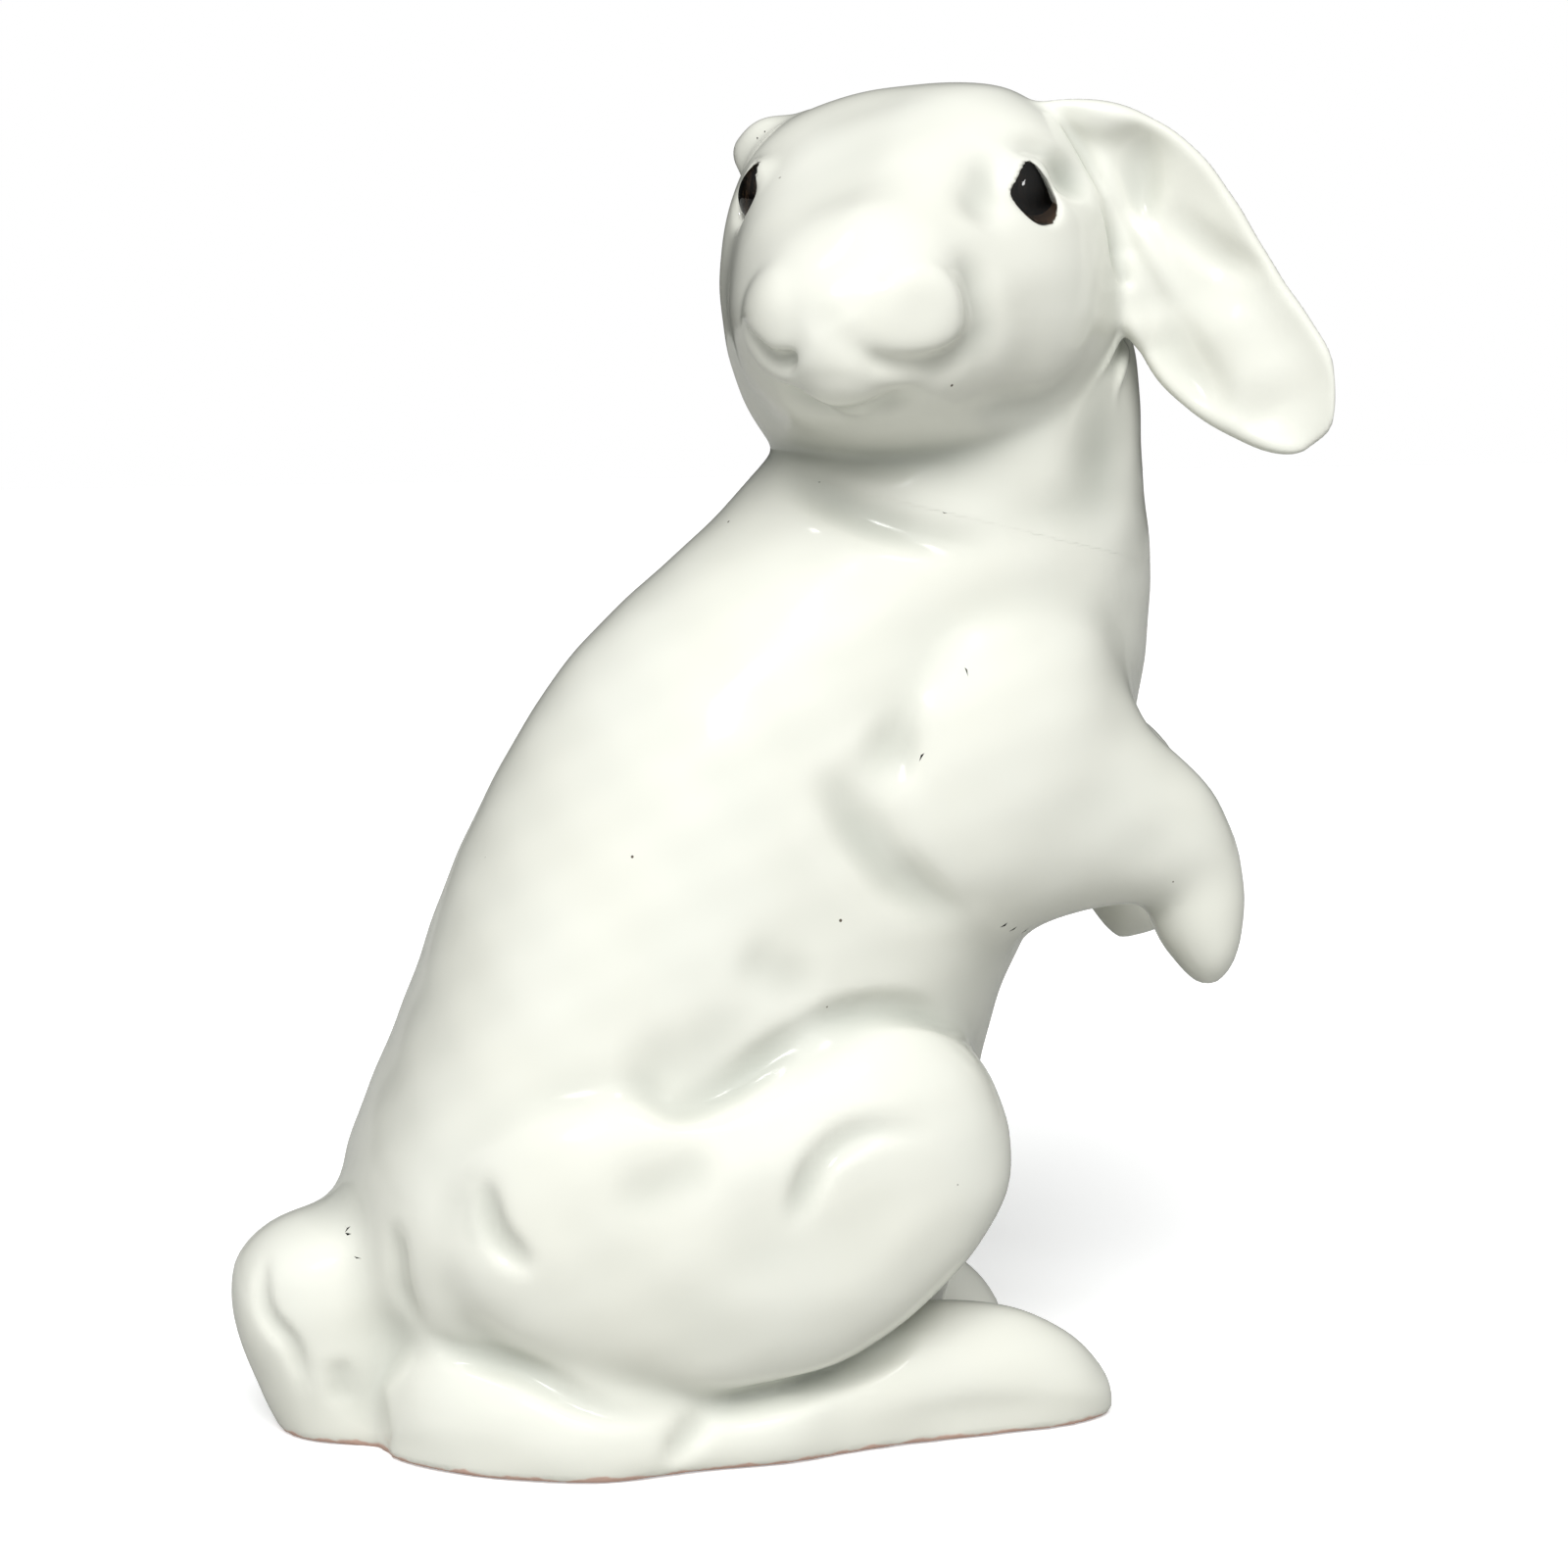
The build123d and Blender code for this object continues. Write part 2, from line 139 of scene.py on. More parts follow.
class Block:
    """A box of space cut into cubes, whose corners can hold distances to a surface."""

    def __init__(self, low, high, spacing):
        self.low = np.array(low, float)
        self.high = np.array(high, float)
        self.spacing = spacing
        self.shape = tuple(int(math.ceil((b - a) / spacing)) + 1 for a, b in zip(low, high))

    def axes(self, first=(0, 0, 0), last=None):
        """The corners' places along x, y and z, ready to be combined."""
        last = last or self.shape
        places = [self.low[i] + np.arange(first[i], last[i]) * self.spacing for i in range(3)]
        return (
            places[0][:, None, None].astype(np.float32),
            places[1][None, :, None].astype(np.float32),
            places[2][None, None, :].astype(np.float32),
        )

    def around(self, low, high):
        """The part of the block that holds a smaller box, as slices and axes."""
        first = [int(max(0, math.floor((low[i] - self.low[i]) / self.spacing))) for i in range(3)]
        last = [
            int(min(self.shape[i], math.ceil((high[i] - self.low[i]) / self.spacing) + 1))
            for i in range(3)
        ]
        if any(b <= a for a, b in zip(first, last)):
            return None, None
        return tuple(slice(a, b) for a, b in zip(first, last)), self.axes(first, last)

    def part(self, cut):
        """The smaller block that those slices cut out."""
        low = self.low + np.array([s.start for s in cut]) * self.spacing
        made = Block(low, low, self.spacing)
        made.shape = tuple(s.stop - s.start for s in cut)
        return made


print("distances are kept up to", round(field_reach / mm), "mm from a surface")

# %% Measure distances, and find the surface again
last_corner = 1.001


def distances(block, points, triangles):
    """How far each corner of the block is from a closed mesh."""
    grid = openvdb.FloatGrid.createLevelSetFromPolygons(
        np.ascontiguousarray(points - block.low, np.float32),
        triangles=np.ascontiguousarray(triangles, np.uint32),
        transform=openvdb.createLinearTransform(voxelSize=block.spacing),
        halfWidth=field_reach / block.spacing,
    )
    field = np.empty(block.shape, np.float32)
    grid.copyToArray(field)
    return field


def zero_skin(block, field):
    """The surface where the field is zero, as points and triangles."""
    grid = openvdb.FloatGrid(field_reach)
    grid.transform = openvdb.createLinearTransform(voxelSize=block.spacing)
    grid.copyFromArray(np.clip(field, -field_reach, field_reach))
    points, quads = grid.convertToQuads()
    return points + block.low, np.vstack([quads[:, [0, 1, 2]], quads[:, [0, 2, 3]]])


def read(block, field, points):
    """The field's value at any points, shared out between the nearest corners."""
    place = np.clip((points - block.low) / block.spacing, 0, np.array(block.shape) - last_corner)
    first = place.astype(int)
    part = place - first
    value = np.zeros(len(points))
    for corner in np.ndindex(2, 2, 2):
        share = np.prod(np.where(corner, part, 1 - part), axis=1)
        value += share * field[tuple((first + corner).T)]
    return value


def slope(block, field, points):
    """The direction in which the field rises at any points."""
    rise = np.empty(points.shape)
    for axis in range(3):
        step = np.zeros(3)
        step[axis] = block.spacing
        rise[:, axis] = read(block, field, points + step) - read(block, field, points - step)
    return rise / np.maximum(np.linalg.norm(rise, axis=1, keepdims=True), 1e-9)


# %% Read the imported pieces
def node_mesh(name):
    """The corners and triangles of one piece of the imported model."""
    mesh = frame["nodes"][name].data
    mesh.calc_loop_triangles()
    points = np.empty(len(mesh.vertices) * 3)
    mesh.vertices.foreach_get("co", points)
    triangles = np.empty(len(mesh.loop_triangles) * 3, np.int32)
    mesh.loop_triangles.foreach_get("vertices", triangles)
    return points.reshape(-1, 3), triangles.reshape(-1, 3)


def node_box(*names):
    """The lowest and highest corner of the box round some pieces."""
    points = np.vstack([node_mesh(name)[0] for name in names])
    return points.min(0), points.max(0)


print("triangles of the packed body:", len(node_mesh("body")[1]))

# %% [markdown]
# Small cubes keep fine forms but cost time, so there are three blocks: a rough one round the whole
# rabbit, to find places on the clay with, a finer one for the body, and the finest for the head.

# %% Lay out the three blocks
body_margin = 12 * mm
head_margin = 8 * mm
rough_spacing = 2.0 * mm
body_spacing = 1.4 * mm
head_spacing = 0.75 * mm

body_low, body_high = node_box("body", "left_foreleg", "right_hind_foot", "left_hind_foot", "tail")
head_low, head_high = node_box("head", "left_ear", "right_ear")
whole_low, whole_high = np.minimum(body_low, head_low), np.maximum(body_high, head_high)
rough_block = Block(whole_low - body_margin, whole_high + body_margin, rough_spacing)
body_block = Block(body_low - body_margin, body_high + body_margin, body_spacing)
head_block = Block(head_low - head_margin, head_high + head_margin, head_spacing)
for block in (rough_block, body_block, head_block):
    print("corners:", block.shape, "every", round(block.spacing / mm, 2), "mm")

# %% [markdown]
# ## Press the pieces together
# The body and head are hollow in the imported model. Their skin outside is all that shows, so the
# hollow is filled first: air that can't be reached from outside counts as clay. Then the limbs,
# ears and tail are blended on, each with its own fillet radius, as a thumb smooths wet slip.

# %% Join two fields with a fillet, and soften a field
def blend(a, b, radius):
    """The union of two fields, with a fillet of about that radius."""
    share = np.clip(0.5 + 0.5 * (b - a) / radius, 0, 1)
    return b * (1 - share) + a * share - radius * share * (1 - share)


def soften(block, field, width):
    """The field averaged over about that width, as a wet sponge rounds clay."""
    reach = int(math.ceil(3 * width / block.spacing))
    shares = np.exp(-0.5 * (np.arange(-reach, reach + 1) * block.spacing / width) ** 2)
    shares = (shares / shares.sum()).astype(np.float32)
    for axis in range(3):
        edges = [(reach, reach) if i == axis else (0, 0) for i in range(3)]
        padded = np.pad(field, edges, "edge")
        field = np.zeros_like(field)
        for i, share in enumerate(shares):
            cut = [slice(None)] * 3
            cut[axis] = slice(i, i + field.shape[axis])
            field += share * padded[tuple(cut)]
    return field


print("where two walls cross, an 8 mm fillet adds", -float(blend(0, 0, 8)), "mm of clay")

# %% Fill a hollow
flood_rounds = 4


def fill_hollow(field):
    """The field with air that can't be reached from outside turned to clay."""
    solid = field < 0
    open_air = np.zeros(solid.shape, bool)
    for edge in (0, -1):
        open_air[edge], open_air[:, edge], open_air[:, :, edge] = True, True, True
    for _ in range(flood_rounds):
        for axis in range(3):
            for turn in (slice(None), slice(None, None, -1)):
                order = [slice(None)] * 3
                order[axis] = turn
                air = open_air[tuple(order)]
                clay = solid[tuple(order)]
                for i in range(1, air.shape[axis]):
                    here = [slice(None)] * 3
                    back = [slice(None)] * 3
                    here[axis], back[axis] = i, i - 1
                    air[tuple(here)] |= air[tuple(back)] & ~clay[tuple(here)]
    return np.where(~open_air & ~solid, np.float32(-field_reach), field)


print("the flood sweeps each axis both ways,", flood_rounds, "times")

# %% Find the outside of the hollow castings
vent_middle = (-28.8 * mm, 0.0)
vent_radius = 5.5 * mm
vent_depth = 9 * mm
plug_overlap = 2 * mm
joint_gap = 0.3 * mm
core_depth = 3 * mm
eye_beds = [f"{side}_eye_{bed}" for side in ("left", "right") for bed in ("enamel", "cement")]


def vent_column(block, radius):
    """Distances to an upright column in the vent, a little longer than the base is thick."""
    x, y, z = block.axes()
    across = np.sqrt((x - vent_middle[0]) ** 2 + (y - vent_middle[1]) ** 2) - radius
    return np.maximum(across, np.abs(z) - vent_depth)


def castings(block):
    """Distances to the walls of the body and head castings and to what plugs their holes."""
    field = np.maximum(vent_column(block, vent_radius + plug_overlap), -block.axes()[2])
    for name in ["body", "head", *eye_beds]:
        field = np.minimum(field, distances(block, *node_mesh(name)))
    return field


core_skin = zero_skin(rough_block, fill_hollow(castings(rough_block) - joint_gap))


def outer_clay(block):
    """Distances to the outside of the body and head, with no hollow."""
    walls = castings(block)
    core = distances(block, *core_skin) + joint_gap + core_depth
    return distances(block, *zero_skin(block, np.minimum(walls, core) - joint_gap)) + joint_gap


print("outside of the castings:", len(core_skin[1]), "triangles")

# %% [markdown]
# The head keeps crisp forms round the muzzle and eyes, and the body is rubbed softer, so how much
# a place is softened depends on how far it is from the middle of the head. Each corner also
# remembers its owner, the piece that it is nearest to, so that the skin can be cut up again.

# %% Name the fillets and the middle of the head
foreleg_fillet = 14 * mm
hind_foot_fillet = 2.5 * mm
tail_fillet = 11 * mm
ear_fillet = 3 * mm
heel_fillet = 7 * mm
heel_from, heel_to = -20 * mm, -50 * mm
fillets = {
    "left_foreleg": foreleg_fillet,
    "right_foreleg": foreleg_fillet,
    "left_hind_foot": hind_foot_fillet,
    "right_hind_foot": hind_foot_fillet,
    "tail": tail_fillet,
    "left_ear": ear_fillet,
    "right_ear": ear_fillet,
}
piece_names = ["body", "head", *fillets]
head_middle = np.array((25, -14, 256)) * mm
head_ahead = np.array((-0.530, -0.848, 0.0))
head_left = np.array((0.848, -0.530, 0.0))
head_up = np.array((0.0, 0.0, 1.0))
neck_tilt = math.radians(14)
neck_joint_middle = np.array((-4.2, 0, 218)) * mm
neck_joint_up = np.array((math.sin(neck_tilt), 0, math.cos(neck_tilt)))


def above_neck_joint(x, y, z):
    """How far a place lies above the joint where the head is luted on."""
    return (x - neck_joint_middle[0]) * neck_joint_up[0] + (z - neck_joint_middle[2]) * neck_joint_up[2]


print("pieces to press together:", piece_names)

# %% Press all the pieces together
crisp_radius = 58 * mm
soft_radius = 78 * mm
body_rub = 2.6 * mm
head_rub = 0.9 * mm
last_rub = 0.8 * mm


def ease(share):
    """A share from 0 to 1 that starts and stops gently."""
    return share * share * (3 - 2 * share)


def press_together(block, neck_overlap):
    """The whole rabbit as one field, and which piece owns each corner."""
    core = outer_clay(block)
    x, y, z = block.axes()
    away = np.sqrt(
        (x - head_middle[0]) ** 2 + (y - head_middle[1]) ** 2 + (z - head_middle[2]) ** 2
    )
    crisp = ease(np.clip((soft_radius - away) / (soft_radius - crisp_radius), 0, 1))
    whole = soften(block, core, body_rub) * (1 - crisp) + soften(block, core, head_rub) * crisp
    nearest = whole
    owner = np.where(above_neck_joint(x, y, z) > neck_overlap, 1, 0) + np.zeros(block.shape, int)
    owner = owner.astype(np.int8)
    for name, radius in fillets.items():
        points, triangles = node_mesh(name)
        if (points.min(0) > block.high).any() or (points.max(0) < block.low).any():
            continue
        own = distances(block, points, triangles)
        owner[own < nearest] = piece_names.index(name)
        nearest = np.minimum(nearest, own)
        if "foot" in name:
            radius = radius + heel_fillet * np.clip((x - heel_from) / (heel_to - heel_from), 0, 1)
        whole = blend(whole, own, radius)
    return soften(block, whole, last_rub), owner


rough_points, rough_triangles = zero_skin(rough_block, press_together(rough_block, 0)[0])
clay_tree = BVHTree.FromPolygons(rough_points.tolist(), rough_triangles.tolist())
print("clay before carving:", len(rough_triangles), "triangles")

# %% [markdown]
# ## Creases and swellings
# A modeller draws creases with the side of a thumb. Sculpting by hand would do it too, but can't be
# repeated or mirrored. Here each crease is a short line given by a few pixels of the view, dropped
# on to the skin. The field near the line is pushed in or pulled out with a soft falloff that fades
# at both ends. Creases of the trunk and legs are drawn once and mirrored to the far side.

# %% Find places on the clay
def on_clay(pixel, lift=0.0):
    """Where the camera sees the clay at that pixel, or a lift in front of it."""
    ray = view_ray(pixel)
    hit = clay_tree.ray_cast(view_eye, ray)[0]
    if hit is None:
        raise ValueError(f"no clay at pixel {pixel}")
    return np.array(hit) - lift * np.array(ray)


def smooth_line(points, steps=6):
    """A smooth line through the points, as many closer ones."""
    points = np.array(points)
    padded = np.vstack([2 * points[0] - points[1], points, 2 * points[-1] - points[-2]])
    line = []
    for a, b, c, d in zip(padded, padded[1:], padded[2:], padded[3:]):
        for t in np.arange(steps) / steps:
            middle = 2 * b + (c - a) * t
            bend = (2 * a - 5 * b + 4 * c - d) * t**2 + (3 * b - a - 3 * c + d) * t**3
            line.append(0.5 * (middle + bend))
    line.append(points[-1])
    return np.array(line)


tip_of_lip = (857, 379)
print("the lip is at", (on_clay(tip_of_lip) / mm).round(1), "mm")

# %% Press a stroke or a dab into a field
end_share = 0.38
falloff_reach = 2.6
far_off = 1e3


def stroke(block, field, line, width, depth):
    """Press a line into the field; a negative depth pulls it out."""
    reach = falloff_reach * width
    cut, axes = block.around(line.min(0) - reach, line.max(0) + reach)
    if cut is None:
        return
    x, y, z = axes
    nearest = np.full([s.stop - s.start for s in cut], np.float32(far_off))
    fade = np.zeros(nearest.shape, np.float32)
    count = len(line) - 1
    for i in range(count):
        a, b = line[i], line[i + 1]
        ab = b - a
        t = ((x - a[0]) * ab[0] + (y - a[1]) * ab[1] + (z - a[2]) * ab[2]) / max(ab @ ab, 1e-12)
        t = np.clip(t, 0, 1)
        d = (x - a[0] - t * ab[0]) ** 2 + (y - a[1] - t * ab[1]) ** 2 + (z - a[2] - t * ab[2]) ** 2
        closer = d < nearest
        nearest = np.where(closer, d, nearest)
        along = (i + t) / count
        fade = np.where(closer, ease(np.clip(np.minimum(along, 1 - along) / end_share, 0, 1)), fade)
    field[cut] += (depth * fade * np.exp(-nearest / width**2)).astype(np.float32)


def dab(block, field, middle, radii, depth):
    """Press one round place in; a negative depth makes a soft bump."""
    reach = falloff_reach * max(radii)
    cut, axes = block.around(middle - reach, middle + reach)
    if cut is None:
        return
    x, y, z = (axis - middle[i] for i, axis in enumerate(axes))
    spread = 0
    for radius, toward in zip(radii, (head_left, head_up, head_ahead)):
        spread = spread + ((x * toward[0] + y * toward[1] + z * toward[2]) / radius) ** 2
    field[cut] += (depth * np.exp(-spread)).astype(np.float32)


print("a stroke reaches", falloff_reach, "times its width to each side")

# %% [markdown]
# The haunch has the deepest marks: the dimple behind the hip, the groove round the knee, the crease
# where the thigh leaves the flank, and the line where the haunch rests on the foot. Each row below
# is a stroke's pixels, its width and its depth in millimetres.

# %% Place the strokes of the trunk, haunches and legs
# Deep strokes also darken the glaze along them, as painted shade.
trunk_strokes = {
    "hip_dimple": (
        [(486, 1200), (493, 1222), (498, 1245), (510, 1268), (528, 1284), (552, 1298)],
        2.6,
        5.6,
    ),
    "hip_shade": ([(466, 1190), (478, 1240), (500, 1300)], 8.0, 1.2),
    "knee_groove": (
        [
            (811, 1262), (816, 1235), (824, 1212), (836, 1190),
            (850, 1173), (872, 1159), (905, 1151), (962, 1150),
        ],
        2.7,
        5.8,
    ),
    "loin_crease": (
        [
            (632, 1090), (662, 1112), (690, 1128), (718, 1122),
            (748, 1106), (778, 1083), (808, 1058), (840, 1042),
        ],
        3.0,
        5.6,
    ),
    "loin_shade": ([(620, 1070), (700, 1085), (790, 1040)], 9.0, 1.6),
    "thigh_top": (
        [(800, 1060), (835, 1042), (870, 1033), (905, 1029), (940, 1034), (972, 1048), (990, 1060)],
        2.6,
        4.4,
    ),
    "thigh_valley": ([(605, 1232), (660, 1215), (710, 1197), (750, 1180)], 7.0, 1.8),
    "flank_dimple": ([(745, 972), (790, 994), (845, 1006)], 5.5, 1.3),
    "elbow_crease": (
        [(842, 770), (858, 815), (880, 855), (910, 893), (955, 922), (1015, 930)],
        5.0,
        4.0,
    ),
    "shoulder_hollow": ([(880, 740), (915, 765), (955, 770)], 8.0, 1.6),
    "rump_line": ([(400, 1240), (402, 1270), (405, 1300), (414, 1330), (438, 1360)], 3.2, 2.8),
    "foot_crease": (
        [
            (425, 1352), (460, 1378), (500, 1389), (532, 1399),
            (562, 1416), (595, 1433), (640, 1446), (690, 1447),
        ],
        2.4,
        4.2,
    ),
    "under_haunch": (
        [(700, 1447), (745, 1438), (800, 1425), (850, 1406), (900, 1385), (945, 1363)],
        3.0,
        4.6,
    ),
    "hock_crease": ([(684, 1500), (694, 1478), (710, 1460), (735, 1447)], 3.0, 3.2),
}
single_strokes = {
    "throat_crease": (
        [(790, 478), (822, 496), (855, 514), (895, 531), (950, 547), (1030, 552)],
        4.0,
        4.6,
    ),
    "tail_fold": (
        [
            (272, 1274), (267, 1298), (266, 1320), (270, 1340), (281, 1356),
            (294, 1370), (303, 1390), (309, 1412), (310, 1458),
        ],
        2.0,
        3.6,
    ),
    "tail_fold_inner": ([(342, 1384), (346, 1410), (345, 1440)], 3.0, 1.2),
}
lines = {}


def lay_strokes(table, lift=0.0):
    """Drop each row's pixels on the clay, or hold them a lift in front of it."""
    for name, (pixels, width, depth) in table.items():
        line = smooth_line([on_clay(pixel, lift) for pixel in pixels])
        lines[name] = (line, width * mm, depth * mm)


lay_strokes({**trunk_strokes, **single_strokes})
mirrored_lines = {name: (lines[name][0] * [1, -1, 1], *lines[name][1:]) for name in trunk_strokes}
print("strokes on the body:", len(lines) + len(mirrored_lines))

# %% [markdown]
# The face is soft: two round pads with a lip below them, a brow, and cheeks that turn under to the
# throat. Creases draw the lines between these, and dabs raise or press round places. The hanging
# ear is thin, so its strokes start a little in front of it and leave its back alone.

# %% Place the strokes of the face and ear
face_strokes = {
    "muzzle_side": (
        [(975, 245), (986, 270), (998, 298), (1005, 330), (1007, 366), (998, 408)],
        5.6,
        2.2,
    ),
    "near_pad_crease": (
        [(852, 332), (864, 347), (890, 364), (928, 373), (964, 370), (990, 352), (1003, 320)],
        4.2,
        3.4,
    ),
    "far_pad_crease": ([(757, 322), (768, 350), (790, 367), (814, 362), (836, 340)], 2.8, 4.2),
    "lip_edge": ([(780, 380), (806, 400), (840, 415), (880, 418), (915, 406), (950, 390)], 4.6, 2.2),
    "inner_eye_corner": ([(1030, 150), (1014, 176), (1002, 204), (992, 236)], 5.5, 2.6),
    "cheek_foot": ([(985, 400), (1020, 414), (1060, 412), (1100, 388), (1120, 360)], 5.5, 1.8),
    "cheek_ridge": (
        [(1136, 270), (1142, 300), (1142, 330), (1136, 365), (1118, 400), (1097, 430)],
        1.3,
        -0.9,
    ),
    "cheek_edge": (
        [(1118, 195), (1134, 235), (1148, 285), (1148, 330), (1143, 370), (1126, 405)],
        2.0,
        1.4,
    ),
    "neck_ridge": ([(1151, 300), (1150, 345), (1146, 395), (1147, 440)], 1.4, -0.9),
    "ear_rim": (
        [(1108, 144), (1130, 176), (1150, 210), (1168, 244), (1186, 282), (1203, 322)],
        2.2,
        -2.6,
    ),
    "ear_bulge": ([(1228, 290), (1252, 335), (1276, 385), (1298, 425)], 8.0, -2.8),
    "ear_web": ([(1158, 250), (1162, 295), (1168, 330), (1176, 360)], 5.5, -3.6),
    "ear_root": ([(1078, 114), (1092, 134), (1106, 154), (1118, 176), (1130, 204)], 1.8, 1.8),
}
ear_strokes = {
    "ear_underside": (
        [(1158, 256), (1170, 292), (1184, 328), (1206, 366), (1232, 402), (1258, 436)],
        4.2,
        8.5,
    ),
    "ear_fold": ([(1178, 208), (1206, 234), (1232, 256), (1256, 271), (1296, 284)], 3.2, 9.0),
}
ear_lift = 3 * mm
lay_strokes(face_strokes)
lay_strokes(ear_strokes, ear_lift)
print("strokes on the face and ear:", len(face_strokes) + len(ear_strokes))

# %% Place the dabs
# Deep presses, such as neck_side, also darken the glaze there, as painted shade.
# Each row is the dab's pixel, its radii to the side, up and ahead, and its depth in millimetres.
face_dabs = {
    "near_pad": ((938, 306), (14, 11, 11), -3.4),
    "near_bridge": ((935, 245), (12, 12, 9), -0.8),
    "far_pad": ((802, 306), (11, 10, 10), -2.6),
    "lip": (tip_of_lip, (12, 7.5, 9), -6.4),
    "nose_bridge": ((872, 232), (18, 15, 10), -2.2),
    "near_cheek": ((1078, 300), (13, 21, 12), -3.6),
    "outer_eye_corner": ((1093, 176), (5, 5, 7), 7.0),
    "brow": ((1060, 150), (6, 3, 6), 2.0),
    "far_ear_edge": ((770, 145), (7, 11, 8), -3.0),
    "neck_side": ((1128, 452), (9, 18, 12), 3.0),
    "throat_side": ((1080, 520), (14, 9, 12), 1.5),
    "ear_root_top": ((1128, 122), (9, 4.5, 6), -2.4),
}
ear_dabs = {
    "ear_hollow": ((1161, 180), (4.5, 8, 5), 7.2),
    "ear_hollow_foot": ((1162, 206), (3.2, 5, 5), 4.6),
}
dabs = {}


def lay_dabs(table, lift=0.0):
    """Drop each row's pixel on the clay, or hold it a lift in front of it."""
    for name, (pixel, radii, depth) in table.items():
        dabs[name] = (on_clay(pixel, lift), [radius * mm for radius in radii], depth * mm)


lay_dabs(face_dabs)
lay_dabs(ear_dabs, ear_lift)
print("dabs:", len(dabs))

# %% [markdown]
# ## Eye sockets
# Each glass eye sits in a round seat, and the lids are a thin sheet of clay drawn over its rim. A
# boolean with a round cutter would give a staring eye. The real opening has a pointed top, so the
# hole's radius changes on the way round it: the hole is a drop and not a circle.

# %% Find where each eye sits
enamel_below_skin = 4.1 * mm


def eye_seat(side):
    """The middle of an eye at the level of the skin, and the direction it looks in."""
    points = node_mesh(f"{side}_eye_enamel")[0]
    middle = (points.min(0) + points.max(0)) / 2
    outward = np.linalg.svd(points - points.mean(0), full_matrices=False)[2][2]
    outward *= np.sign(outward @ (middle - head_middle))
    return middle + enamel_below_skin * outward, outward


eye_seats = {side: eye_seat(side) for side in ("left", "right")}
for side, (middle, outward) in eye_seats.items():
    print(side, "eye at", (middle / mm).round(1), "looking", outward.round(2))

# %% Lay the lids round the eyes, and fill the openings with glass
lid_reach = 20 * mm
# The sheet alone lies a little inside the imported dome, and its fillet lifts it over the rim.
lid_cover = -1.0 * mm
lid_fillet = 6 * mm
lid_edge = 0.6 * mm
opening_side = 6.0 * mm
opening_top = 7.0 * mm
opening_bottom = 6.3 * mm
opening_slope = 0.15
point_sharpness = 6
shoulder_cut = 1.0 * mm
socket_depth = 5 * mm
glass_depth = 3.8 * mm
glass_margin = 0.6 * mm
glass_sink = 0.3 * mm
glass_swell = 1.0 * mm
glass_skins = {}


def drop_radius(raised):
    """How wide the opening is, by how far up or down from its middle one looks, from -1 to 1."""
    upper, lower = np.clip(raised, 0, 1), np.clip(-raised, 0, 1)
    opening = opening_side + (opening_top - opening_side) * upper**point_sharpness
    opening += (opening_bottom - opening_side) * lower**2
    opening -= shoulder_cut * 2 * upper * np.sqrt(1 - upper**2)
    return opening


def lay_lids(block, field):
    """Draw a sheet of clay over each eye, open a drop in it and fill that with glass."""
    for side, (middle, outward) in eye_seats.items():
        cut, axes = block.around(middle - lid_reach, middle + lid_reach)
        if cut is None:
            continue
        x, y, z = (axis - middle[i] for i, axis in enumerate(axes))
        above = x * outward[0] + y * outward[1] + z * outward[2]
        across = np.sqrt(np.maximum(x**2 + y**2 + z**2 - above**2, 0))
        opening = drop_radius(np.clip(z / np.maximum(across, 1e-6), -1, 1))
        sheet = distances(block, *node_mesh(f"{side}_eye_glass"))[cut] - lid_cover
        clay = blend(field[cut], sheet, lid_fillet)
        hole = across - opening
        dome = clay + glass_sink - glass_swell * np.clip(1 - (across / opening) ** 2, 0, 1)
        glass = np.maximum(np.maximum(dome, hole - glass_margin), -above - glass_depth)
        glass_skins[side] = zero_skin(block.part(cut), glass)
        hole = np.maximum(hole - opening_slope * np.maximum(above, 0), -above - socket_depth)
        field[cut] = -blend(-clay, hole, lid_edge)


print("eye openings:", round((opening_top + opening_bottom) / mm, 1), "mm high")

# %% [markdown]
# Hands leave a faint swell in wet clay that a machine doesn't, and it keeps the highlights from
# looking ruled. Noise could make it, but has to be worked out corner by corner. Two pairs of slow
# waves, multiplied and added, are quick and uneven enough. The last steps keep the skin inside the
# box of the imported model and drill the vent.

# %% Carve a block
hand_swell = 0.22 * mm
box_fillet = 3 * mm
# Each row is how fast a wave turns along x, y and z, in radians a metre, and where it starts.
hand_waves = (
    ((230, 0, 60), 1.3),
    ((0, -90, 210), 0.7),
    ((-170, 0, 300), 2.1),
    ((0, 190, 140), 0.4),
)


def hand_marks(block):
    """How deep the marks of hands are at each corner."""
    x, y, z = block.axes()
    waves = [np.sin(u * x + v * y + w * z + start) for (u, v, w), start in hand_waves]
    return np.float32(hand_swell / 2) * (waves[0] * waves[1] + waves[2] * waves[3] + 2)


def keep_in_box(block, field):
    """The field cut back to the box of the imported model, with soft edges."""
    x, y, z = block.axes()
    low, high = np.array(cad_box[0]), np.array(cad_box[1])
    outside = np.maximum(np.maximum(x - high[0], low[0] - x), np.maximum(y - high[1], low[1] - y))
    return -blend(-field, -np.maximum(outside, z - high[2]), box_fillet)


def carve(block, field):
    """Press every stroke and the marks of hands in, lay the lids and drill the vent."""
    for line, width, depth in [*lines.values(), *mirrored_lines.values()]:
        stroke(block, field, line, width, depth)
    for middle, radii, depth in dabs.values():
        dab(block, field, middle, radii, depth)
    field += hand_marks(block)
    lay_lids(block, field)
    return np.maximum(keep_in_box(block, field), -vent_column(block, vent_radius))


print("marks of hands: up to", round(2 * hand_swell / mm, 2), "mm deep")

# %% [markdown]
# ## The skin
# The surface is built cell by cell. Wherever two neighbouring corners have different owners, or one
# is clay and one is air, a four-sided face goes between them, and its corners sit in the middle of
# the crossings of the cells around. So each piece gets a closed mesh of its own, and neighbours
# share the same points along their seam, as two luted pieces share one joint. Shading with the
# field's own slope as the normal hides the seam and gives the wet look of a thick glaze.

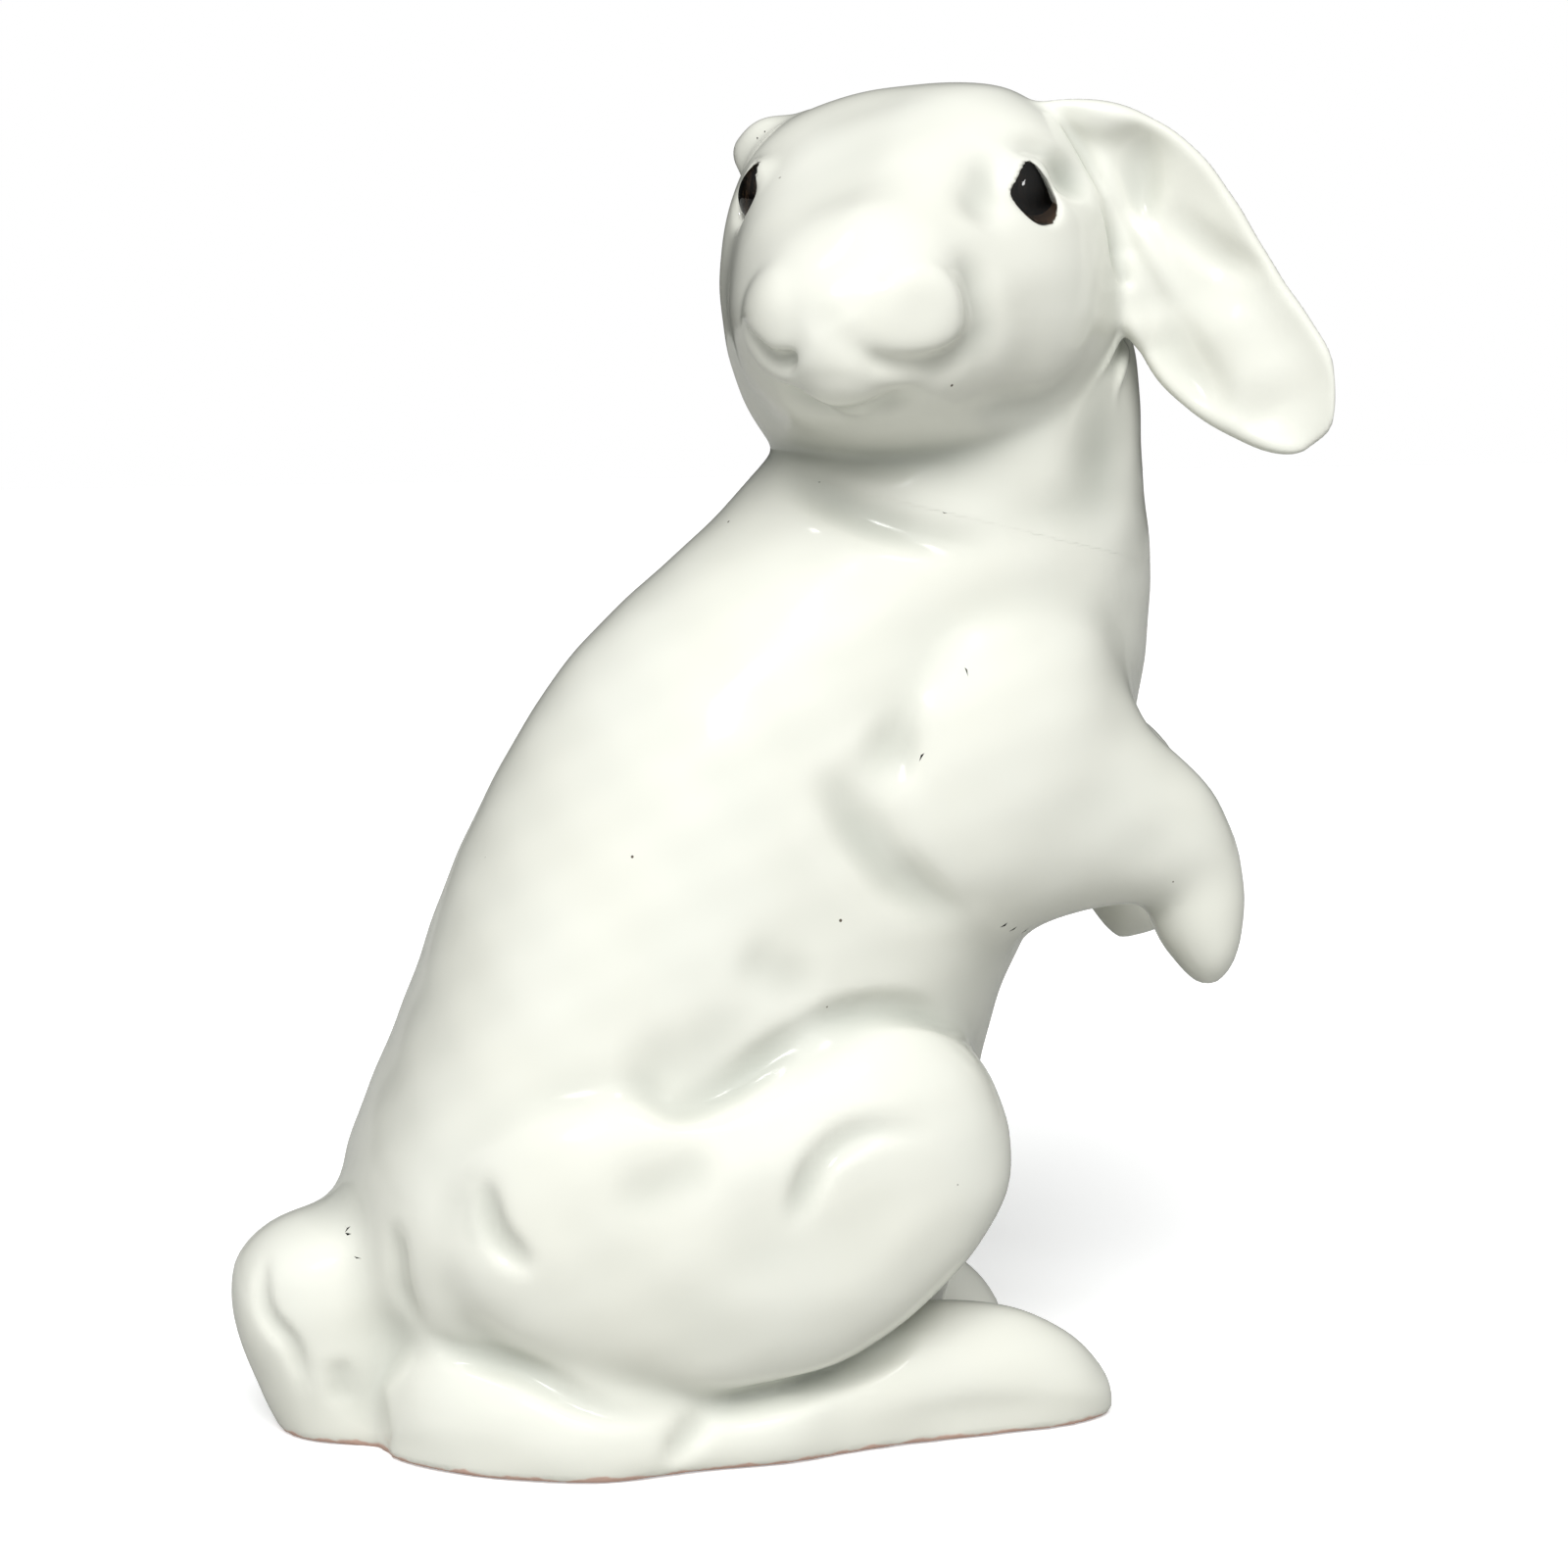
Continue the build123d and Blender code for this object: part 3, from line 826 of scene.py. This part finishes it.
# %% Find the faces between unlike corners
def crossings(block, field, label):
    """The faces, where each is crossed, whether it is skin, and the labels on both its sides."""
    faces, places, skins, sides = [], [], [], []
    step = np.eye(3, dtype=int)
    for axis in range(3):
        first, second = [slice(None)] * 3, [slice(None)] * 3
        first[axis], second[axis] = slice(None, -1), slice(1, None)
        corner = np.argwhere(label[tuple(first)] != label[tuple(second)])
        b_axis, c_axis = (axis + 1) % 3, (axis + 2) % 3
        corner = corner[(corner[:, b_axis] > 0) & (corner[:, c_axis] > 0)]
        here, there = tuple(corner.T), tuple((corner + step[axis]).T)
        skin = (label[here] < 0) | (label[there] < 0)
        crossing = np.where(skin, field[here] / (field[here] - field[there] + 1e-12), 0.5)
        place = corner.astype(float)
        place[:, axis] += np.clip(crossing, 0, 1)
        cells = [corner - step[b_axis] - step[c_axis], corner - step[c_axis], corner, corner - step[b_axis]]
        faces.append(np.stack([np.ravel_multi_index(tuple(cell.T), block.shape) for cell in cells], 1))
        places.append(place)
        skins.append(skin)
        sides.append(np.stack([label[here], label[there]], 1))
    return np.vstack(faces), np.vstack(places), np.concatenate(skins), np.vstack(sides)


# %% Cut the clay into closed pieces
inner_weight = 1e-4
settle_rounds = 3
settle_step = 0.4


def settle(block, field, points):
    """The points moved on to the skin along the field's slope."""
    limit = settle_step * block.spacing
    for _ in range(settle_rounds):
        off = read(block, field, points)[:, None]
        points = points - np.clip(off, -limit, limit) * slope(block, field, points)
    return points


def net(block, field, owner):
    """Points, which of them lie on the skin, and for each owner its faces."""
    label = np.where(field < 0, owner, -1).astype(np.int8)
    faces, places, skins, sides = crossings(block, field, label)
    _, corners = np.unique(faces, return_inverse=True)
    faces = corners.reshape(faces.shape)
    count = faces.max() + 1
    weight = np.where(skins, 1.0, inner_weight)
    total = sum(np.bincount(faces[:, i], weight, count) for i in range(4))
    points = np.empty((count, 3))
    for axis in range(3):
        pulled = sum(np.bincount(faces[:, i], weight * places[:, axis], count) for i in range(4))
        points[:, axis] = pulled / total
    points = block.low + points * block.spacing
    on_skin = total >= 1
    points[on_skin] = settle(block, field, points[on_skin])
    owned = {
        number: np.vstack([faces[sides[:, 0] == number], faces[sides[:, 1] == number][:, ::-1]])
        for number in np.unique(sides)
        if number >= 0
    }
    return points, on_skin, owned


print("points settle on the skin in", settle_rounds, "rounds")

# %% [markdown]
# Glaze collects in hollows and runs off ridges while it melts. The glaze colour uses that for painted
# shade, much darker in the hollows, and for painted light, a brighter white on the ridges. Each point
# of the skin stores how hollow it is there, as an attribute that the glaze material reads. The blurred
# field tells it: it is clay on average in a hollow and air on average on a ridge. Deep creases and
# presses count as well, and get painted shade too.

# %% Make the glazed pieces
curve_clip = 4 * mm
curve_width = 5 * mm
crease_shade_share = 0.13
crease_shade_start = 1.4 * mm
joint_tuck = 0.12 * mm


def mesh_object(name, points, faces):
    """A new object from points and faces, smooth shaded."""
    mesh = bpy.data.meshes.new(name)
    mesh.from_pydata(points.tolist(), [], faces.tolist())
    mesh.polygons.foreach_set("use_smooth", [True] * len(mesh.polygons))
    mesh.update()
    made = bpy.data.objects.new(name, mesh)
    bpy.context.scene.collection.objects.link(made)
    return made


def pooling_and_shade(block, field, smooth_clay, points):
    """How hollow each point is, for pooled glaze with painted shade: above zero in hollows and deep presses,
    below it on ridges, where painted light goes.
    """
    curve = soften(block, np.clip(field, -curve_clip, curve_clip), curve_width)
    pressed = read(block, field - smooth_clay, points)
    return np.maximum(-read(block, curve, points) / curve_clip, crease_shade_share * (pressed - crease_shade_start) / mm)


def skin_pieces(block, neck_overlap, wanted):
    """Carve one block and make an object for each wanted piece."""
    smooth_clay, owner = press_together(block, neck_overlap)
    field = carve(block, smooth_clay.copy())
    points, on_skin, owned = net(block, field, owner)
    normals = np.zeros(points.shape)
    normals[on_skin] = slope(block, field, points[on_skin])
    hollow = pooling_and_shade(block, field, smooth_clay, points)
    points[:, 2] = np.maximum(points[:, 2], 0)
    made = []
    for name in wanted:
        faces = owned[piece_names.index(name)]
        used, inverse = np.unique(faces, return_inverse=True)
        places = points[used]
        if name == "body":
            buried = np.clip(above_neck_joint(*places.T) / mm, 0, 1) * on_skin[used]
            places = places - normals[used] * buried[:, None] * joint_tuck
        piece = mesh_object(f"glazed_{name}", places, inverse.reshape(faces.shape))
        piece.data.normals_split_custom_set_from_vertices(normals[used].tolist())
        # The hollow attribute drives painted shade in hollows and creases and painted light on ridges.
        shade = piece.data.attributes.new("hollow", "FLOAT", "POINT")
        shade.data.foreach_set("value", hollow[used].astype(np.float32))
        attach(piece, "root")
        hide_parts(name)
        made.append(piece)
        print(piece.name, len(faces) * 2, "triangles")
    return made


neck_lap = 1.5 * mm
head_names = ["head", "left_ear", "right_ear"]
body_names = [name for name in piece_names if name not in head_names]
clay_pieces = skin_pieces(body_block, neck_lap, body_names)
clay_pieces += skin_pieces(head_block, 0, head_names)

# %% [markdown]
# The glass of each eye was found while the lids were laid: it fills the opening to just under the
# lids and swells a little in the middle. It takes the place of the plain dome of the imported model,
# so that no gap shows round it.

# %% Make the glass of the eyes
glass_pieces, glass_trees = [], {}
for side, (points, triangles) in glass_skins.items():
    a, b, c = (points[triangles[:, i]] for i in range(3))
    if np.einsum("ij,ij->", np.cross(b - a, c - a), a - points.mean(0)) < 0:
        triangles = triangles[:, ::-1]
    piece = mesh_object(f"set_{side}_eye_glass", points, triangles)
    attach(piece, "root")
    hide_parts(f"{side}_eye_glass")
    glass_pieces.append(piece)
    glass_trees[side] = BVHTree.FromPolygons(points.tolist(), triangles.tolist())
    print(piece.name, len(triangles), "triangles")

# %% [markdown]
# ## Finishes
# The glaze is a thick warm white over pale clay. An image could carry its shades, but the pattern
# follows the form, so nodes work it out. Where it pools, in the hollows and creases, it is deeper and
# a little green, and much darker as painted shade; where it runs thin, on the ridges, the white is
# brighter as painted light. A few pinholes are left by the firing. Under the rim the glaze was wiped
# off, so the pink clay shows.

# %% Wire up shader nodes
def material(name):
    """A new node material, its tree and its main shader."""
    made = bpy.data.materials.new(name)
    made.use_nodes = True
    return made, made.node_tree, made.node_tree.nodes["Principled BSDF"]


def fill(tree, socket, value):
    """Link another node's output to a socket, or set the socket's own value."""
    if isinstance(value, bpy.types.NodeSocket):
        tree.links.new(value, socket)
    else:
        socket.default_value = value


def node(tree, kind, **inputs):
    """A new shader node with some of its inputs filled."""
    made = tree.nodes.new(kind)
    for name, value in inputs.items():
        fill(tree, made.inputs[name.replace("_", " ")], value)
    return made


def reckon(tree, kind, operation, *values):
    """The result of a maths node for those values."""
    made = tree.nodes.new(kind)
    made.operation = operation
    for socket, value in zip(made.inputs, values):
        fill(tree, socket, value)
    return made.outputs["Value"]


def rescale(tree, value, low, high, to_low=0.0, to_high=1.0):
    """A value moved from one range to another and held at its ends."""
    made = node(tree, "ShaderNodeMapRange", Value=value, From_Min=low, From_Max=high)
    made.inputs["To Min"].default_value = to_low
    made.inputs["To Max"].default_value = to_high
    return made.outputs["Result"]


def noise(tree, place, scale, detail=2.0):
    """Soft random blots, as many a metre as the scale says."""
    return node(tree, "ShaderNodeTexNoise", Vector=place, Scale=scale, Detail=detail).outputs["Fac"]


# %% Mix colours
def ramp(tree, factor, *stops):
    """A colour ramp between two stops, each a place and a colour."""
    made = tree.nodes.new("ShaderNodeValToRGB")
    fill(tree, made.inputs["Fac"], factor)
    for stop, (place, colour) in zip(made.color_ramp.elements, stops):
        stop.position, stop.color = place, colour
    return made.outputs["Color"]


def mix(tree, factor, a, b):
    """Two colours mixed by a factor."""
    made = tree.nodes.new("ShaderNodeMix")
    made.data_type = "RGBA"
    for name, value in (("Factor", factor), ("A", a), ("B", b)):
        fill(tree, [s for s in made.inputs if s.name == name and s.enabled][0], value)
    return [s for s in made.outputs if s.enabled][0]


# %% Colour the glaze by how it pools, with painted shade in the hollows and painted light on the ridges
white_glaze = (0.76, 0.765, 0.70, 1)
# The brighter white is painted light on the ridges, where the glaze also runs thin.
ridge_light_glaze = (0.82, 0.82, 0.77, 1)
# The pooled colour is far darker than pooled glaze alone: it is painted shade in hollows and creases.
pooled_glaze_shade = (0.30, 0.33, 0.285, 1)
cream_cloud = (0.66, 0.63, 0.50, 1)
pool_shade_from, pool_shade_to = -0.05, 0.55
ridge_light_from, ridge_light_to = -0.25, -0.7
clouds_a_metre, cloud_detail = 28.0, 3.0
cloud_from, cloud_to, cloud_share = 0.35, 0.75, 0.12

glaze, tree, shader = material("glaze")
place = tree.nodes.new("ShaderNodeTexCoord").outputs["Object"]
hollow = tree.nodes.new("ShaderNodeAttribute")
hollow.attribute_name = "hollow"
# Painted shade: the hollows and creases are much darker.
pooling_shade = rescale(tree, hollow.outputs["Fac"], pool_shade_from, pool_shade_to)
# Painted light: the ridges are a brighter white.
thin_ridge_light = rescale(tree, hollow.outputs["Fac"], ridge_light_from, ridge_light_to)
clouds = noise(tree, place, clouds_a_metre, cloud_detail)
cloudy = rescale(tree, clouds, cloud_from, cloud_to, 0.0, cloud_share)
colour = mix(tree, thin_ridge_light, white_glaze, ridge_light_glaze)
colour = mix(tree, pooling_shade, colour, pooled_glaze_shade)
colour = mix(tree, cloudy, colour, cream_cloud)
print("glaze:", white_glaze[:3], "pooled:", pooled_glaze_shade[:3])

# %% Leave a few pinholes in the glaze
# Each pinhole is a tiny dark speck.
pinhole_dark = (0.10, 0.08, 0.06, 1)
specks_a_metre = 70.0
speck_core, speck_edge = 0.022, 0.03
kept_from, kept_to = 0.55, 0.57

specks = node(tree, "ShaderNodeTexVoronoi", Vector=place, Scale=specks_a_metre)
near_speck = rescale(tree, specks.outputs["Distance"], speck_core, speck_edge, 1.0, 0.0)
chosen = node(tree, "ShaderNodeSeparateColor", Color=specks.outputs["Color"])
few = rescale(tree, chosen.outputs["Red"], kept_from, kept_to)
colour = mix(tree, reckon(tree, "ShaderNodeMath", "MULTIPLY", near_speck, few), colour, pinhole_dark)
print("a pinhole is about", round(2 * speck_core / specks_a_metre / mm, 1), "mm wide")

# %% Wipe the glaze off the foot rim
bare_clay = (0.62, 0.42, 0.35, 1)
wipe_waver = 3 * mm
wavers_a_metre = 180.0
wipe_glazed, wipe_bare = 0.2 * mm, -0.4 * mm

height = node(tree, "ShaderNodeSeparateXYZ", Vector=place).outputs["Z"]
waver = noise(tree, place, wavers_a_metre)
above_edge = reckon(tree, "ShaderNodeMath", "MULTIPLY_ADD", waver, -wipe_waver, height)
bare = rescale(tree, above_edge, wipe_glazed, wipe_bare)
fill(tree, shader.inputs["Base Color"], mix(tree, bare, colour, bare_clay))
print("the wiped edge wavers by", round(wipe_waver / mm), "mm")

# %% Give the glaze its gloss and its ripple
glaze_roughness, clay_roughness = 0.15, 0.7
glaze_ior = 1.52
ripple_height, ripple_strength = 0.4 * mm, 0.25
ripples_a_metre = 75.0

fill(tree, shader.inputs["Roughness"], rescale(tree, bare, 0.0, 1.0, glaze_roughness, clay_roughness))
shader.inputs["IOR"].default_value = glaze_ior
ripple = noise(tree, place, ripples_a_metre)
bump = node(tree, "ShaderNodeBump", Height=ripple, Strength=ripple_strength, Distance=ripple_height)
fill(tree, shader.inputs["Normal"], bump.outputs["Normal"])
for piece in clay_pieces:
    piece.data.materials.append(glaze)
print("pieces glazed:", len(clay_pieces))

# %% [markdown]
# ## Glass eyes
# The eyes are domes of smoky glass over a disc of enamel: a large black pupil with a narrow rim of
# dark brown. A plain black ball would look flat, and light that goes through glass and comes back
# doesn't. They sit in a bed of plaster, which stays out of sight.

# %% Paint the enamel
pupil_radius = 5.6 * mm
iris_from, iris_to = pupil_radius - 0.3 * mm, pupil_radius + 0.6 * mm
pupil_black = (0.002, 0.002, 0.002, 1)
iris_brown = (0.035, 0.012, 0.004, 1)
enamel_roughness = 0.2

eye_enamel, tree, shader = material("eye_enamel")
place = tree.nodes.new("ShaderNodeTexCoord").outputs["Object"]
spans = [
    reckon(tree, "ShaderNodeVectorMath", "DISTANCE", place, middle - enamel_below_skin * outward)
    for middle, outward in eye_seats.values()
]
nearer = reckon(tree, "ShaderNodeMath", "MINIMUM", *spans)
iris = rescale(tree, nearer, iris_from, iris_to)
fill(tree, shader.inputs["Base Color"], mix(tree, iris, pupil_black, iris_brown))
shader.inputs["Roughness"].default_value = enamel_roughness
print("pupils:", round(2 * pupil_radius / mm, 1), "mm wide")

# %% Melt the glass and mix the plaster
smoky_brown = (0.10, 0.06, 0.04, 1)
glass_ior = 1.45
streak_roughness, streaks_a_metre = 0.02, 300.0
damp_plaster, dry_plaster = (0.45, 0.42, 0.38, 1), (0.6, 0.57, 0.52, 1)
damp_share, dry_share = 0.3, 0.7
plaster_roughness, grains_a_metre = 0.85, 900.0

eye_glass, tree, shader = material("eye_glass")
place = tree.nodes.new("ShaderNodeTexCoord").outputs["Object"]
streaks = rescale(tree, noise(tree, place, streaks_a_metre), 0.0, 1.0, 0.0, streak_roughness)
fill(tree, shader.inputs["Roughness"], streaks)
shader.inputs["Base Color"].default_value = smoky_brown
shader.inputs["Transmission Weight"].default_value = 1.0
shader.inputs["IOR"].default_value = glass_ior

eye_cement, tree, shader = material("eye_cement")
place = tree.nodes.new("ShaderNodeTexCoord").outputs["Object"]
grain = noise(tree, place, grains_a_metre)
plaster = ramp(tree, grain, (damp_share, damp_plaster), (dry_share, dry_plaster))
fill(tree, shader.inputs["Base Color"], plaster)
shader.inputs["Roughness"].default_value = plaster_roughness

for side in ("left", "right"):
    for layer, finish in (("enamel", eye_enamel), ("cement", eye_cement)):
        piece = frame["nodes"][f"{side}_eye_{layer}"]
        piece.data.materials.clear()
        piece.data.materials.append(finish)
for piece in glass_pieces:
    piece.data.materials.append(eye_glass)
print("eyes painted:", len(eye_seats))

# %% [markdown]
# ## Paper and light
# The rabbit stands on white paper in a white room. A bright floor would wash out its underside, so
# the paper is grey to the light that it throws back and white to the camera, and so is the room,
# which is dim behind the figure, where its edges turn dark.

# %% Lay the paper
floor_half = 3.0
grey_table = (0.52, 0.52, 0.50, 1)
white_paper = (0.97, 0.97, 0.97, 1)
paper_glow = (0.4, 0.4, 0.4, 1)
paper_roughness = 0.9

floor = mesh_object(
    "floor",
    np.array([(x * floor_half, y * floor_half, 0) for x, y in ((-1, -1), (1, -1), (1, 1), (-1, 1))]),
    np.array([(0, 1, 2, 3)]),
)
paper, tree, shader = material("paper")
seen = tree.nodes.new("ShaderNodeLightPath").outputs["Is Camera Ray"]
fill(tree, shader.inputs["Base Color"], mix(tree, seen, grey_table, white_paper))
fill(tree, shader.inputs["Emission Strength"], seen)
shader.inputs["Emission Color"].default_value = paper_glow
shader.inputs["Roughness"].default_value = paper_roughness
floor.data.materials.append(paper)
print("paper:", 2 * floor_half, "m wide")

# %% Light the room
room_dim = (0.03, 0.032, 0.03, 1)
room_bright = (0.62, 0.63, 0.62, 1)
backdrop_white = (1, 1, 1, 1)
room_rise = Vector((0, 0, 0.9))

bpy.context.scene.view_settings.view_transform = "Standard"
world = bpy.data.worlds.new("studio")
bpy.context.scene.world = world
world.use_nodes = True
tree = world.node_tree
around = tree.nodes.new("ShaderNodeTexCoord").outputs["Generated"]
brightest = (view_back + room_rise).normalized()
ahead = reckon(tree, "ShaderNodeVectorMath", "DOT_PRODUCT", around, brightest)
room = ramp(tree, ahead, (0.0, room_dim), (1.0, room_bright))
seen = tree.nodes.new("ShaderNodeLightPath").outputs["Is Camera Ray"]
fill(tree, tree.nodes["Background"].inputs["Color"], mix(tree, seen, room, backdrop_white))
tree.nodes["Background"].inputs["Strength"].default_value = 1.0
print("the room is brightest towards", [round(part, 2) for part in brightest])

# %% [markdown]
# One wide soft lamp high in front models the forms, and a second one lifts the face. Neither is
# mirrored in the glaze, because a small window lamp makes sharper highlights. Each eye has a spark
# lamp, put where the glass mirrors it to the lens: the ray to the eye, reflected, points at it.

# %% Hang the lamps
key_place, key_power, key_width = (-0.22, -1.00, 1.12), 2.25, math.radians(38)
face_lamp_place, face_lamp_power, face_lamp_size = (-0.22, -0.62, 0.78), 1.5, 0.40
window_place, window_power, window_size = (-0.65, -1.00, 1.05), 1.6, 0.20
spark_pixels = {"left": (1043, 191), "right": (773, 186)}
spark_away, spark_power, spark_size = 1.0, 0.6, 0.10


def lamp(name, kind, place, power):
    """A lamp that faces the rabbit."""
    data = bpy.data.lights.new(name, kind)
    data.energy = power
    made = bpy.data.objects.new(name, data)
    made.location = place
    aim = view_target - Vector(place)
    made.rotation_mode = "QUATERNION"
    made.rotation_quaternion = aim.to_track_quat("-Z", "Y")
    bpy.context.scene.collection.objects.link(made)
    return made


key = lamp("key", "SUN", key_place, key_power)
key.data.angle = key_width
key.visible_glossy = False
face_lamp = lamp("face_lamp", "AREA", face_lamp_place, face_lamp_power)
face_lamp.data.size = face_lamp_size
face_lamp.visible_glossy = False
window = lamp("window", "AREA", window_place, window_power)
window.data.size = window_size
for side, pixel in spark_pixels.items():
    hit, normal = glass_trees[side].ray_cast(view_eye, view_ray(pixel))[:2]
    mirrored = view_ray(pixel).reflect(normal)
    spark = lamp(f"{side}_spark", "AREA", hit + mirrored * spark_away, spark_power)
    spark.data.size = spark_size
    spark.visible_diffuse = False
print("lamps:", len(bpy.data.lights))
